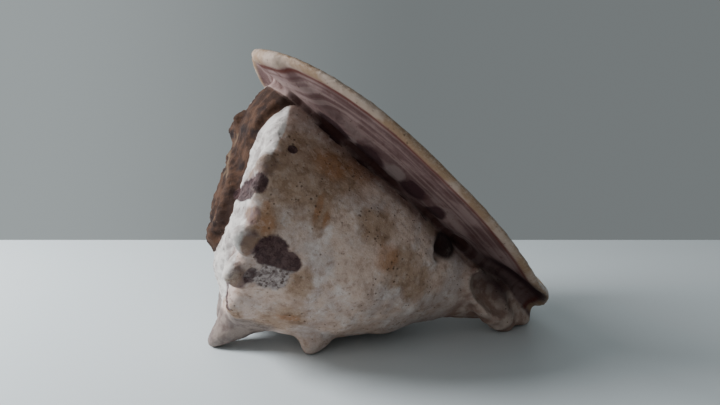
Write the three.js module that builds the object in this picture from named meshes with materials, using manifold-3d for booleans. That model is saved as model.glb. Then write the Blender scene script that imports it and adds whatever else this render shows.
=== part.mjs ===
// A helmet shell, in one piece: a low spire, a broad last whorl with three rows of knobs,
// a dished shield round a long narrow mouth, and a short canal bent back at the front end.
//
// It is shaped in a growth frame and then set down on its knobs. In the growth frame +X runs
// towards the spire, +Y towards the shield's left edge and +Z out of the mouth.
// All lengths are in millimetres and all angles in degrees unless a name says otherwise.

import * as THREE from "three";
import { ParametricGeometry } from "three/addons/geometries/ParametricGeometry.js";
import { mergeVertices } from "three/addons/utils/BufferGeometryUtils.js";
import Module from "manifold-3d";

const wasm = await Module();
wasm.setup();

// ---- Driving dimensions ----

const SHIELD = {
  halfLength: 100, // centre to either end, along X
  left: 65, // centre to the free left edge
  lip: 74, // centre to the outer lip
  squareness: 2.4, // 2 is an ellipse
  backSpread: 0.16, // share by which the spire half is wider and the front half narrower
  leftRise: 13, // how far the left edge stands forward of the middle
  lipRise: 5,
  lipFall: -12, // the lip side bends back at the spire end
  riseCurve: 2.1,
  plate: 4.4, // thickness behind the rim
  bead: 6, // thickness of the rolled rim
  lipBead: 9.5, // thickness of the outer lip's rim
};
const AXIS_TILT = 20; // coiling axis against the shield
const CANAL_ROOT = new THREE.Vector3(-86, 0, -6); // where the coiling axis leaves the front end
const WHORL = {
  growth: 1.34, // radius gained over the last turn
  spireGrowth: 1.8, // the same on the spire
  sutureRadius: 37, // last suture at the mouth
  climb: 11, // how far the shoulder climbs between its lowest point and the shield
  lipClimb: 2, // further climb of the ramp at the lip
  flare: 11, // how far the wall spreads where it runs into the lip
  step: 2.6, // how far each spire whorl stands up from the next
};
// Outline of the last whorl from apex to front, as height along the axis and radius.
const PROFILE = [
  [165, 0],
  [164, 9],
  [162.5, 18],
  [161, 27],
  [159, 33],
  [154, 37.5],
  [148, 42],
  [143, 48],
  [139, 54],
  [134, 57],
  [126, 57.5],
  [114, 56],
  [100, 53],
  [84, 49],
  [67, 42],
  [50, 32.5],
  [35, 25.5],
  [20, 20],
  [8, 16],
  [0, 10],
  [-3, 0],
];
const PROFILE_TURN = 180; // the profile is true at this angle
// Three rows of knobs. Each knob is a turn and a reach; a row shares height, spread and lean.
const KNOB_ROWS = [
  {
    height: 134,
    spread: 9.5,
    lean: 8,
    knobs: [
      [35, 3],
      [60, 4],
      [80, 4.5],
      [96, 4.5],
      [118, 5.5],
      [141, 6],
      [206, 25.4],
      [232, 15],
      [262, 11],
      [292, 9],
      [320, 7],
    ],
  },
  {
    height: 128,
    spread: 10.5,
    lean: 36,
    knobs: [[176, 22.6]],
  },
  {
    height: 91,
    spread: 8,
    lean: 0,
    knobs: [
      [80, 2],
      [108, 3],
      [134, 4],
      [157, 8.2],
      [196, 4],
      [226, 6],
      [256, 5],
      [286, 4],
    ],
  },
  {
    height: 60,
    spread: 8,
    lean: 0,
    knobs: [
      [120, 2],
      [146, 3.5],
      [172, 3.8],
      [204, 5],
      [236, 4],
    ],
  },
];
const SPIRE_KNOBS = { every: 30, rise: 3 };
const MOUTH = {
  front: -74,
  back: 56,
  width: 14,
  bow: 5, // how far the middle bends towards the lip
  offset: -11,
  teeth: 12,
  toothDepth: 1.7,
};
const WALL = 5;
const CANAL = { radius: 12.5, bore: 5 };
const REST = {
  yaw: 11, // how the growth frame is turned to rest
  lean: 42.2,
  worn: 1.2, // how much of the lowest tips is worn off
};
const FINENESS = { around: 68, along: 41 };

// ---- Small helpers ----

const radians = THREE.MathUtils.degToRad;
const smooth = THREE.MathUtils.smoothstep;
const clamp = THREE.MathUtils.clamp;
const bell = (distance, width) => Math.exp(-((distance / width) ** 2));
const turnBetween = (a, b) => ((((a - b) % 360) + 540) % 360) - 180;

const axisUp = new THREE.Vector3(Math.cos(radians(AXIS_TILT)), 0, -Math.sin(radians(AXIS_TILT)));
const axisFace = new THREE.Vector3(Math.sin(radians(AXIS_TILT)), 0, Math.cos(radians(AXIS_TILT)));
const axisLeft = new THREE.Vector3(0, 1, 0);

// A point in the whorl's cylinder frame. Turn 0 faces the shield, 90 the left edge, 180 the back.
function aboutAxis(turn, height, radius, target = new THREE.Vector3()) {
  return target
    .copy(CANAL_ROOT)
    .addScaledVector(axisUp, height)
    .addScaledVector(axisFace, radius * Math.cos(radians(turn)))
    .addScaledVector(axisLeft, radius * Math.sin(radians(turn)));
}

// A closed mesh as a manifold-3d solid.
function solid(geometry) {
  const bare = geometry.index ? geometry.toNonIndexed() : geometry.clone();
  bare.deleteAttribute("normal");
  bare.deleteAttribute("uv");
  const merged = mergeVertices(bare, 1e-3);
  const corners = merged.index.array;
  const kept = [];
  for (let i = 0; i < corners.length; i += 3) {
    const [a, b, c] = corners.slice(i, i + 3);
    if (a !== b && b !== c && c !== a) kept.push(a, b, c);
  }
  return new wasm.Manifold(
    new wasm.Mesh({
      numProp: 3,
      vertProperties: merged.attributes.position.array,
      triVerts: new Uint32Array(kept),
    }),
  );
}

function geometryOf(body) {
  const mesh = body.getMesh();
  const geometry = new THREE.BufferGeometry();
  geometry.setAttribute("position", new THREE.BufferAttribute(mesh.vertProperties.slice(), 3));
  geometry.setIndex(new THREE.BufferAttribute(mesh.triVerts.slice(), 1));
  geometry.computeVertexNormals();
  return geometry;
}

// A round solid along a curve, closed at both ends. radiusAt gives its radius from 0 to 1.
function taperedTube(points, radiusAt, around, along) {
  const path = new THREE.CatmullRomCurve3(points.map((p) => new THREE.Vector3(...p)));
  const frames = path.computeFrenetFrames(along, false);
  return new ParametricGeometry(
    (u, v, target) => {
      const ring = Math.round(v * along);
      const angle = 2 * Math.PI * u;
      const radius = ring === 0 || ring === along ? 0 : radiusAt(v);
      target
        .copy(path.getPointAt(clamp(v, 0, 1)))
        .addScaledVector(frames.normals[ring], radius * Math.cos(angle))
        .addScaledVector(frames.binormals[ring], radius * Math.sin(angle));
    },
    around,
    along,
  );
}

// ---- The shield ----

// Outline at an angle in the XY plane, 0 towards the spire.
function shieldEdge(angle) {
  const c = Math.cos(angle);
  const s = Math.sin(angle);
  const power = 2 / SHIELD.squareness;
  const half = s > 0 ? SHIELD.left : SHIELD.lip;
  return {
    x: SHIELD.halfLength * Math.sign(c) * Math.abs(c) ** power,
    y: half * Math.sign(s) * Math.abs(s) ** power * (1 + SHIELD.backSpread * c),
  };
}

// Height of the shield's middle surface: a dish, higher at its left edge.
function shieldHeight(x, y) {
  const half = y > 0 ? SHIELD.left : SHIELD.lip;
  const lipRise = THREE.MathUtils.lerp(SHIELD.lipRise, SHIELD.lipFall, smooth(x, 10, 95));
  const rise = y > 0 ? SHIELD.leftRise : lipRise;
  return rise * Math.min(Math.abs(y) / half, 1.2) ** SHIELD.riseCurve;
}

function shieldSolid() {
  const around = 48;
  const along = 20;
  return new ParametricGeometry(
    (u, v, target) => {
      const angle = -2 * Math.PI * u;
      const edge = shieldEdge(angle);
      const face = v < 0.5 ? 1 : -1;
      const inward = Math.abs(v - 0.5) * 2; // 0 at the rim, 1 at the centre
      const share = 1 - inward ** 1.6;
      const x = edge.x * share;
      const y = edge.y * share;
      const lip = Math.max(0, -Math.sin(angle));
      const bead = THREE.MathUtils.lerp(SHIELD.bead, SHIELD.lipBead, lip);
      const half = THREE.MathUtils.lerp(SHIELD.plate, bead, smooth(share, 0.86, 0.97)) / 2;
      const round = Math.sqrt(Math.max(0, 1 - smooth(share, 0.94, 1) ** 2));
      target.set(x, y, shieldHeight(x, y) + face * half * (v === 0.5 ? 0 : round));
    },
    around,
    along,
  );
}

// ---- The whorls ----

const profileCurve = new THREE.SplineCurve(PROFILE.map(([h, r]) => new THREE.Vector2(h, r)));

// Size of the last whorl at a turn, 1 where the profile is true. It closes on itself under the shield.
function whorlScale(turn) {
  const t = ((turn % 360) + 360) % 360;
  const grown = WHORL.growth ** ((t - PROFILE_TURN) / 360);
  const young = WHORL.growth ** ((t + 360 - PROFILE_TURN) / 360);
  return THREE.MathUtils.lerp(young, grown, smooth(t, 0, 40));
}

// How far the spire's whorls and their knobs stand up, at a turn and a radius on the profile.
function spireStep(turn, radius) {
  const last = WHORL.sutureRadius * WHORL.spireGrowth ** (turn / 360 - 1);
  const whorl = Math.log(Math.max(radius, 1) / last) / Math.log(WHORL.spireGrowth);
  if (radius < 1 || whorl > 0) return 0;
  const share = whorl - Math.floor(whorl); // 1 at a suture, falling to 0 at the next one in
  const rise = smooth(share, 0, 0.75) * (1 - smooth(share, 0.9, 1));
  const knob = Math.cos((Math.PI * turn) / SPIRE_KNOBS.every) ** 2 * bell(share - 0.7, 0.16);
  return ((WHORL.step * rise + SPIRE_KNOBS.rise * knob) * radius) / WHORL.sutureRadius;
}

// Sum of the knobs' swelling at a place on the whorl, outwards and along the axis.
function knobSwell(turn, height, radius) {
  let out = 0;
  let up = 0;
  for (const row of KNOB_ROWS) {
    for (const [at, reach] of row.knobs) {
      const across = radians(turnBetween(turn, at)) * radius;
      const away = Math.hypot(across, height - row.height) / row.spread;
      const near = reach * Math.exp(-(away ** 1.7));
      out += near * Math.cos(radians(row.lean));
      up += near * Math.sin(radians(row.lean));
    }
  }
  return { out, up };
}

// How far the shoulder climbs towards the spire as it nears the shield, from its lowest at the back.
// Near the lip the whole ramp climbs with it.
function shoulderClimb(turn, height, radius) {
  if (radius < 5) return 0;
  const share = turn > 180 ? smooth(turn, 240, 340) : 1 - smooth(turn, 30, 185);
  const ramp = turn > 180 ? smooth(turn, 240, 340) : 1 - smooth(turn, 0, 60);
  const top = (WHORL.climb + WHORL.lipClimb * ramp) * smooth(height, 80, 130);
  return top * share * bell(radius - 56 + 10 * ramp, 15 + 9 * ramp);
}

function whorlPoint(u, v, target) {
  const turn = (360 * u) % 360;
  const base = profileCurve.getPoint(v);
  const inside = v > 0 && v < 1;
  const scale = THREE.MathUtils.lerp(whorlScale(turn), 1, smooth(base.x, 40, 0));
  const radius = inside ? base.y * scale : 0;
  const swell = inside ? knobSwell(turn, base.x, Math.max(radius, 20)) : { out: 0, up: 0 };
  const rise = spireStep(turn, base.y) + shoulderClimb(turn, base.x, base.y) + swell.up;
  aboutAxis(turn, base.x + rise, radius + swell.out, target);
  const gap = shieldHeight(target.x, target.y) - target.z;
  const lipShare = smooth(turn, 255, 290) * (1 - smooth(turn, 345, 359)) * smooth(base.x, 10, 40);
  target.y -= WHORL.flare * bell(gap, 15) * lipShare;
  target.z = Math.min(target.z, shieldHeight(target.x, target.y) - 1);
}

// ---- The mouth and the hollow behind it ----

function mouthLine(x) {
  const share = (x - MOUTH.front) / (MOUTH.back - MOUTH.front);
  return MOUTH.offset - MOUTH.bow * Math.sin(Math.PI * share);
}

function mouthSolid() {
  const steps = MOUTH.teeth * 4;
  const sides = [1, -1].map((side) =>
    Array.from({ length: steps + 1 }, (_, i) => {
      const share = i / steps;
      const x = THREE.MathUtils.lerp(MOUTH.front, MOUTH.back, share);
      const half = (MOUTH.width / 2) * Math.sin(Math.PI * clamp(share, 0.02, 0.98)) ** 0.35;
      const tooth = MOUTH.toothDepth * Math.cos(2 * Math.PI * MOUTH.teeth * share) ** 2;
      return new THREE.Vector2(x, mouthLine(x) + side * (half - tooth * Math.min(1, half / 5)));
    }),
  );
  const outline = new THREE.Shape([...sides[1], ...sides[0].reverse()]);
  const slot = new THREE.ExtrudeGeometry(outline, { depth: 46, bevelEnabled: false });
  return slot.translate(0, 0, -30);
}

// The hollow: the last whorl's inside, wound back from the mouth and closing as it goes.
function hollowSolid() {
  const from = 342;
  const to = 130;
  return new ParametricGeometry(
    (u, v, target) => {
      const turn = THREE.MathUtils.lerp(from, to, v);
      const shrink = v === 0 || v === 1 ? 0 : Math.sin(Math.PI * (0.12 + 0.88 * v)) ** 0.5;
      const angle = 2 * Math.PI * u;
      const height = 84 + 50 * shrink * Math.cos(angle);
      const outer = profileRadius(height) * whorlScale(turn) - WALL;
      const inner = 15;
      const middle = (outer + inner) / 2;
      const half = Math.max(0, (outer - inner) / 2) * shrink;
      aboutAxis(turn, height, middle + half * Math.sin(angle), target);
      target.z = Math.min(target.z, shieldHeight(target.x, target.y) - WALL - 1.3);
    },
    24,
    22,
  );
}

function profileRadius(height) {
  const points = PROFILE.filter(([h]) => h < 146);
  const i = points.findIndex(([h]) => h <= height);
  if (i <= 0) return points[0][1];
  const [h1, r1] = points[i - 1];
  const [h0, r0] = points[i];
  return THREE.MathUtils.mapLinear(height, h0, h1, r0, r1);
}

// ---- The canal ----

const canalPath = [
  [-54, 0, -18],
  [-70, 0, -12],
  [-83, 1, -8],
  [-92, 2, -10],
  [-96.5, 3, -17],
];
const borePath = [
  [-62, -9, -2],
  [-74, -4, -6],
  [-86, 0, -11],
  [-98, 2, -14],
  [-112, 3, -16],
];

function canalSolid() {
  const radiusAt = (v) => CANAL.radius * (1 - 0.12 * v) * Math.sqrt(1 - Math.max(0, (v - 0.86) / 0.16) ** 2);
  return taperedTube(canalPath, radiusAt, 18, 14);
}

function fascioleSolid() {
  const path = [
    [-93, 6, -22],
    [-86, 12, -12],
    [-74, 16, -6],
    [-62, 17, 0],
  ];
  return taperedTube(path, (v) => 7.5 * Math.sin(Math.PI * clamp(v * 0.85 + 0.1, 0, 1)) ** 0.5, 12, 12);
}

function boreSolid() {
  return taperedTube(borePath, () => CANAL.bore, 12, 12);
}

// ---- Assembly ----

// Turned to rest: the shield leans back and faces up, the canal and the tallest knobs are down.
const rest = new THREE.Matrix4()
  .makeRotationZ(radians(180 + REST.yaw))
  .multiply(new THREE.Matrix4().makeRotationY(radians(-REST.lean)));
const restingSolid = (geometry) => solid(geometry.applyMatrix4(rest));

const grown = [
  new ParametricGeometry(whorlPoint, FINENESS.around, FINENESS.along),
  shieldSolid(),
  canalSolid(),
  fascioleSolid(),
]
  .map(restingSolid)
  .reduce((a, b) => a.add(b));
const opened = [hollowSolid(), mouthSolid(), boreSolid()]
  .map(restingSolid)
  .reduce((a, b) => a.subtract(b), grown);

// The tips it rests on are worn flat.
const floorHeight = grown.boundingBox().min[2] + REST.worn;
const floor = new THREE.BoxGeometry(400, 400, 60).translate(0, 0, floorHeight - 30);
const worn = opened.subtract(solid(floor));

const geometry = geometryOf(worn);
geometry.computeBoundingBox();
const box = geometry.boundingBox;
geometry.translate(-(box.min.x + box.max.x) / 2, -(box.min.y + box.max.y) / 2, -box.min.z);

const shell = new THREE.Mesh(
  geometry,
  new THREE.MeshStandardMaterial({ color: 0xb9a596, roughness: 0.8, metalness: 0 }),
);
shell.name = "shell";

const helmet = new THREE.Group();
helmet.add(shell);

export default helmet;
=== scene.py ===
# %% [markdown]
# # A helmet shell lying on its knobs
# This notebook grows one large sea shell: a heavy coil with a dished shield round its mouth. The
# imported model says where the shell lies and how big it is. Here it gets its true surface: knobs,
# sutures, lamellae, stains and a chalky finish. The frame is loaded first and its box is kept,
# so that the new shell can be placed in it at the end.

# %% Load the fixed frame
import math

import bmesh
import bpy
import numpy as np
from mathutils import Euler, Matrix, Vector, noise


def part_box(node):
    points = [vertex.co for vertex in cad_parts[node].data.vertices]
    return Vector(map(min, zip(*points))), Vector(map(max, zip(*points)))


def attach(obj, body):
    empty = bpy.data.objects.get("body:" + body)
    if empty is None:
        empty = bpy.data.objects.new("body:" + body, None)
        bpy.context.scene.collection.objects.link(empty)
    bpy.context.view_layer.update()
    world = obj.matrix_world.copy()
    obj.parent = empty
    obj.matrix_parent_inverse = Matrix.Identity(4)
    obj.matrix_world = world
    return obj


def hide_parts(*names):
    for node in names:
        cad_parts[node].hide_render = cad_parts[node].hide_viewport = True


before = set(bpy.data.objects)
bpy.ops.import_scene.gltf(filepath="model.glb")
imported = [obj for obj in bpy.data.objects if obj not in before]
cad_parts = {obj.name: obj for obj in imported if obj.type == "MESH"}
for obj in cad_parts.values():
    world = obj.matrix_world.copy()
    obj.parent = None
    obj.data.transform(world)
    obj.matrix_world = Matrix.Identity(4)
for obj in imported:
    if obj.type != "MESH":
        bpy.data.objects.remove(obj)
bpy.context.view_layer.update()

MM = 0.001
cad_low, cad_high = (np.array(corner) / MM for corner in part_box("shell"))
print("frame box in mm:", cad_low.round(1), cad_high.round(1))

# %% [markdown]
# ## The camera
# It stands a little above the table and looks slightly down on the shell's left side. A long
# lens from far away would flatten the shell, so a short lens is used close by instead. That
# gives the strong perspective of something looked at from arm's length.

# %% Camera
CAMERA_AT = (-0.008, -0.327, 0.128)
CAMERA_TILT = math.radians(79.7)  # 90 degrees looks level

camera_data = bpy.data.cameras.new("camera")
camera_data.lens = 32
camera_data.clip_end = 20
camera = bpy.data.objects.new("camera", camera_data)
camera.location = CAMERA_AT
camera.rotation_euler = Euler((CAMERA_TILT, 0, 0))
bpy.context.scene.collection.objects.link(camera)
bpy.context.scene.camera = camera
print("camera height in m:", round(camera.location.z, 3))

# %% [markdown]
# ## A frame to grow in
# A shell lies at an odd angle, and hardly anything in it is square to the table. It could be
# drawn as it lies, but every knob would then need its own tilt. It is easier to describe upright
# in a frame of its own: +X towards the spire, +Y towards the shield's left edge, +Z out of the
# mouth. The coiling axis leans back in that frame. Only at the end is everything turned onto its
# knobs. All shapes are in millimetres.

# %% Helpers for smooth shapes
AXIS_TILT = math.radians(20)
CANAL_ROOT = np.array((-86.0, 0.0, -6.0))
AXIS_UP = np.array((math.cos(AXIS_TILT), 0, -math.sin(AXIS_TILT)))
AXIS_FACE = np.array((math.sin(AXIS_TILT), 0, math.cos(AXIS_TILT)))
AXIS_LEFT = np.array((0.0, 1.0, 0.0))


def ease(x, low, high):
    """0 below low, 1 above high, smooth between."""
    t = np.clip((x - low) / (high - low), 0, 1)
    return t * t * (3 - 2 * t)


def bell(distance, width):
    """1 at no distance, fading to nothing at about twice the width."""
    return np.exp(-((distance / width) ** 2))


def turn_between(a, b):
    """The short way from turn b to turn a, in degrees."""
    return (a - b + 180) % 360 - 180


def about_axis(turn, height, radius):
    """Points from a turn in degrees (0 mouth side, 90 left, 180 back), a height and a radius."""
    angle = np.radians(turn)
    return (
        CANAL_ROOT
        + np.outer(height, AXIS_UP)
        + np.outer(radius * np.cos(angle), AXIS_FACE)
        + np.outer(radius * np.sin(angle), AXIS_LEFT)
    )


def seen_from_axis(points):
    """The reverse: turn, height and radius of points in the growth frame."""
    away = points - CANAL_ROOT
    across, side = away @ AXIS_FACE, away @ AXIS_LEFT
    return np.degrees(np.arctan2(side, across)) % 360, away @ AXIS_UP, np.hypot(across, side)


print("apex at", about_axis(np.zeros(1), np.full(1, 165.0), np.zeros(1)).round(1))

# %% [markdown]
# ## Smooth curves through a few points
# The side view of the whorl and the paths of the canal are smooth lines. A curve object could
# draw them, but here the points are needed as numbers, so a small function runs a smooth curve
# through a handful of points and also says which way the curve is heading.

# %% Smooth curve
def smooth_curve(points, way):
    """Places and directions on a smooth curve through points, at ways from 0 to 1."""
    at = np.clip(way, 0, 1) * (len(points) - 1)
    i = np.minimum(at.astype(int), len(points) - 2)
    t = (at - i)[:, None]
    p0, p1, p2, p3 = (points[np.clip(i + k, 0, len(points) - 1)] for k in (-1, 0, 1, 2))
    a, b = 0.5 * (p2 - p0), 0.5 * (p3 - p1)
    cubic, square = 2 * p1 - 2 * p2 + a + b, 3 * p2 - 3 * p1 - 2 * a - b
    place = cubic * t**3 + square * t**2 + a * t + p1
    ahead = 3 * cubic * t**2 + 2 * square * t + a
    return place, ahead


print("halfway along a corner:", smooth_curve(np.array([(0, 0), (1, 0), (1, 1)]), np.full(1, 0.5))[0])

# %% [markdown]
# ## Moving a ball's points
# Every solid here starts as one of Blender's own balls, because a ball is closed and has two
# poles, so nothing made from it has a hole. A function then moves its points: it gets the angle
# round the ball and the way from the top pole to the bottom one, from 0 to 1, and returns where
# each point goes. Sculpting would give the same shapes, but could not be changed by a number.

# %% Shape a ball
def shaped_ball(name, around, along, surface):
    ball = bmesh.new()
    bmesh.ops.create_uvsphere(ball, u_segments=around, v_segments=along, radius=1)
    unit = np.array([vertex.co for vertex in ball.verts])
    angle = np.degrees(np.arctan2(unit[:, 1], unit[:, 0])) % 360
    way = np.arccos(np.clip(unit[:, 2], -1, 1)) / np.pi
    for vertex, place in zip(ball.verts, surface(angle, way)):
        vertex.co = place
    bmesh.ops.recalc_face_normals(ball, faces=ball.faces)
    mesh = bpy.data.meshes.new(name)
    ball.to_mesh(mesh)
    ball.free()
    piece = bpy.data.objects.new(name, mesh)
    bpy.context.scene.collection.objects.link(piece)
    return piece


# %% [markdown]
# ## The shield
# The flat plate round the mouth is a dish with a rolled rim. Its left edge stands forward, and
# its lip side bends back at the spire end. Behind the left edge an older layer of shell lies
# against the whorl: a low step on the back of the plate. Beside the canal the plate bulges
# forward, which leaves a deep hollow behind it. A flattened ball makes it, because its rim, its
# front and its back are then one closed skin.

# %% Shield
SHIELD_HALF = 100.0
SHIELD_LEFT, SHIELD_LIP = 65.0, 74.0
LEFT_RISE, LIP_RISE, LIP_FALL = 13.0, 5.0, -12.0
CORNER = 2 / 2.4
PLATE, LEFT_BEAD, LIP_BEAD = 3.6, 4.1, 8.7
BULGE_AT, BULGE_SIZE, BULGE_RISE = (-74, 24), (17, 15), 6.5
OLD_LAYER = 3.0


def shield_edge(angle):
    """Outline at an angle in degrees, 0 towards the spire."""
    c, s = np.cos(np.radians(angle)), np.sin(np.radians(angle))
    x = SHIELD_HALF * np.sign(c) * np.abs(c) ** CORNER
    half = np.where(s > 0, SHIELD_LEFT, SHIELD_LIP)
    return x, half * np.sign(s) * np.abs(s) ** CORNER * (1 + 0.16 * c)


def shield_height(x, y):
    """The dish without its bulge."""
    lip = LIP_RISE + (LIP_FALL - LIP_RISE) * ease(x, 10, 95)
    rise = np.where(y > 0, LEFT_RISE, lip)
    half = np.where(y > 0, SHIELD_LEFT, SHIELD_LIP)
    return rise * np.minimum(np.abs(y) / half, 1.2) ** 2.1


def dish_height(x, y):
    """The plate's middle surface, with the bulge beside the canal."""
    across = (x - BULGE_AT[0]) / BULGE_SIZE[0], (y - BULGE_AT[1]) / BULGE_SIZE[1]
    bulge = bell(np.hypot(*across), 1) * (1 - ease(y, 34, 46))
    return shield_height(x, y) + BULGE_RISE * bulge


def shield_surface(angle, way):
    edge_x, edge_y = shield_edge(angle)
    inward = np.abs(way - 0.5) * 2
    share = 1 - inward**1.6
    x, y = edge_x * share, edge_y * share
    lip = np.clip(-np.sin(np.radians(angle)), 0, 1)
    bead = LEFT_BEAD + (LIP_BEAD - LEFT_BEAD) * lip
    thick = PLATE + (bead - PLATE) * ease(share, 0.935, 0.96)
    ends = np.sqrt(np.maximum(0, 1 - ease(share, 0.955, 1) ** 2))
    front = way < 0.5
    against_whorl = (1 - ease(y, 37, 40)) * ease(y, 0, 20) * ease(x, -40, -20)
    layer = np.where(front, 0, OLD_LAYER * against_whorl)
    z = dish_height(x, y) + np.where(front, 1, -1) * (thick / 2 * ends) - layer
    return np.stack((x, y, z), axis=1)


shield = shaped_ball("shield", 300, 120, shield_surface)
print("shield points:", len(shield.data.vertices))

# %% [markdown]
# ## The whorls
# Outside, the coil is one outline turned about the axis while it grows. A screw modifier could
# sweep it, but the knobs and the shoulder change along the turn, so a ball's points are placed
# by turn and height instead. First comes the outline from the apex down to the canal, and how
# much larger the shell has grown at each turn.

# %% Outline of the last whorl
OUTLINE = np.array([
    (165, 0), (163.5, 9), (161, 18), (158, 27), (155.5, 33), (152, 38), (147.5, 43), (143, 48.5),
    (139.5, 54), (135, 57.3), (126, 57.5), (114, 56), (100, 53), (84, 49), (67, 42),
    (50, 32.5), (35, 25.5), (20, 20), (8, 16), (0, 10), (-3, 0),
])
TURN_GROWTH = 1.34


def outline(way):
    """Height and radius on a smooth curve through the outline's points."""
    curve, _ = smooth_curve(OUTLINE, way)
    return curve[:, 0], np.maximum(curve[:, 1], 0)


def whorl_scale(turn):
    grown = TURN_GROWTH ** ((turn - 180) / 360)
    young = TURN_GROWTH ** ((turn + 180) / 360)
    return young + (grown - young) * ease(turn, 0, 40)


print("growth from back to mouth:", whorl_scale(np.array((180.0, 359.0))).round(2))

# %% [markdown]
# ## Knobs
# The shell grew in bursts, and each burst left a row of knobs: large ones on the shoulder, two
# more rows below. They could be balls stuck on, but on the real shell they swell smoothly out of
# the wall. So each knob is a bump in the radius, with a lean and a bluntness of its own.

# %% Knobs
# turn, height, reach, spread, lean towards the spire in degrees, bluntness
KNOBS = [
    (38, 138, 2.4, 6, 30, 1.8), (61, 138, 4.6, 6.2, 50, 2.4), (75, 138, 4.4, 5.4, 62, 2.2),
    (98, 139, 8.4, 5.2, 66, 2.6), (115, 138, 9.2, 5.6, 60, 2.6), (137, 137, 4.5, 7, 40, 2),
    (176, 130, 19.8, 8.6, 33, 2.5), (206, 134, 25.4, 9, 8, 1.6), (232, 134, 15, 9, 8, 1.7),
    (262, 134, 11, 9, 8, 1.7), (292, 134, 9, 9, 8, 1.7), (320, 134, 7, 9, 8, 1.7),
    (80, 90, 1.4, 8, 0, 2), (108, 90, 2, 8, 0, 2), (134, 90, 2.6, 7, 0, 2),
    (157, 98, 2.4, 12, 0, 2), (157, 96.2, 7.8, 6.6, 0, 4), (196, 91, 4, 8, 0, 1.7),
    (226, 91, 6, 8, 0, 1.7), (256, 91, 5, 8, 0, 1.7), (286, 91, 4, 8, 0, 1.7),
    (120, 60, 1.2, 8, 0, 2), (146, 62, 2.2, 7, 0, 2), (172, 60, 2.4, 7, 0, 2),
    (204, 60, 5, 8, 0, 1.7), (236, 60, 4, 8, 0, 1.7),
]


def knob_swell(turn, height, radius):
    """How far the knobs push the wall outwards and up."""
    out, up = np.zeros_like(turn), np.zeros_like(turn)
    for at, level, reach, spread, lean, blunt in KNOBS:
        across = np.radians(turn_between(turn, at)) * radius
        away = np.hypot(across, height - level) / spread
        near = reach * np.exp(-(away**blunt))
        out += near * math.cos(math.radians(lean))
        up += near * math.sin(math.radians(lean))
    return out, up


print("knobs:", len(KNOBS))

# %% [markdown]
# ## Spire and sutures
# Above the shoulder lie the older, smaller whorls, pressed together. Where two whorls meet runs
# a suture, and the last one swings out under the shield. The coils could be modelled one by one,
# but only their steps show. So the flat top is raised in steps, with a wall and a groove along
# the last suture.

# %% Spire and shoulder
LAST_SUTURE = 37.0
SPIRE_GROWTH = 1.8
STEP_RISE, STEP_KNOB, STEP_KNOB_TURN = 2.8, 2.6, 30
WALL_RISE, GROOVE_DEPTH = 4.0, 2.6
SHOULDER_RISE = 11


def suture_share(turn, radius):
    """Which spire whorl a radius lies on, and how far across it: 1 at its outer suture."""
    last = LAST_SUTURE * SPIRE_GROWTH ** (turn / 360 - 1)
    whorl = np.log(np.maximum(radius, 1) / last) / math.log(SPIRE_GROWTH)
    return whorl, whorl - np.floor(whorl)


def open_suture(turn):
    """Radius of the last suture: it swings out under the shield, where the whorl ends."""
    turns = (0, 22, 26, 29, 33, 38, 46, 60, 80, 120, 300, 330, 345, 355, 360)
    radii = (62, 60, 52, 44, 38, 31.5, 26.5, 24, 25.5, 26.5, 34, 38, 46, 58, 62)
    return np.interp(turn, turns, radii)


def suture_wall(turn, radius):
    """The older shell stands up from the suture, and a groove runs along its foot."""
    suture = open_suture(turn)
    wall = WALL_RISE * ease(suture - radius, 0, 2.5) * ease(suture, 26, 42) * ease(radius, 34, 50)
    groove = GROOVE_DEPTH * bell(radius - suture - 2.2, 3.2)
    return wall - groove


def spire_step(turn, radius):
    whorl, share = suture_share(turn, radius)
    rise = STEP_RISE * ease(share, 0, 0.75) * (1 - ease(share, 0.9, 1))
    knob = STEP_KNOB * np.cos(np.pi * turn / STEP_KNOB_TURN) ** 2 * bell(share - 0.7, 0.16)
    inside = (whorl <= 0) & (radius >= 1)
    return np.where(inside, (rise + knob) * radius / LAST_SUTURE, 0)


def shoulder_climb(turn, height, radius):
    late = turn > 180
    share = np.where(late, ease(turn, 240, 340), 1 - ease(turn, 30, 185))
    ramp = np.where(late, ease(turn, 240, 340), 1 - ease(turn, 0, 60))
    top = (SHOULDER_RISE + 2 * ramp + 3.4 * bell(turn_between(turn, 76), 26)) * ease(height, 80, 130)
    return np.where(radius < 5, 0, top * share * bell(radius - 56 + 10 * ramp, 15 + 9 * ramp))


print("last suture at turns 30, 90, 330:", open_suture(np.array((30, 90, 330))))

# %% [markdown]
# ## One skin for all the whorls
# Outline, growth, knobs and sutures now come together. The points near the mouth are also pressed
# back behind the shield, and the lip side is pushed outwards to meet its rim.

# %% Whorl surface
def whorl_surface(turn, way):
    height, base = outline(way)
    inside = (way > 0.001) & (way < 0.999)
    scale = 1 + (whorl_scale(turn) - 1) * ease(height, 0, 40)
    radius = np.where(inside, base * scale, 0)
    keel = bell(height - 138, 2.6)
    out, up = knob_swell(turn, height, np.maximum(radius, 20))
    rise = spire_step(turn, base) + shoulder_climb(turn, height, base) + up * inside
    rise += suture_wall(turn, base) * inside * (height > 136)
    place = about_axis(turn, height + rise, radius + (out + keel) * inside)
    gap = shield_height(place[:, 0], place[:, 1]) - place[:, 2]
    lip = ease(turn, 255, 290) * (1 - ease(turn, 345, 359)) * ease(height, 10, 40)
    place[:, 1] -= 11 * bell(gap, 15) * lip
    place[:, 2] = np.minimum(place[:, 2], shield_height(place[:, 0], place[:, 1]) - 1)
    return place


whorls = shaped_ball("whorls", 360, 240, whorl_surface)
print("whorl points:", len(whorls.data.vertices))

# %% [markdown]
# ## The canal
# At the front end the mouth runs out through a short canal that bends back. Each old edge of the
# canal stays as a thin raised sheet, so the lump beside it is built of curved lamellae. A curve
# with a bevel gives a tube too, but not one whose radius has a saw-tooth. So a ball is stretched
# along the path, and the lamellae are small jumps in its radius.

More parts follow.
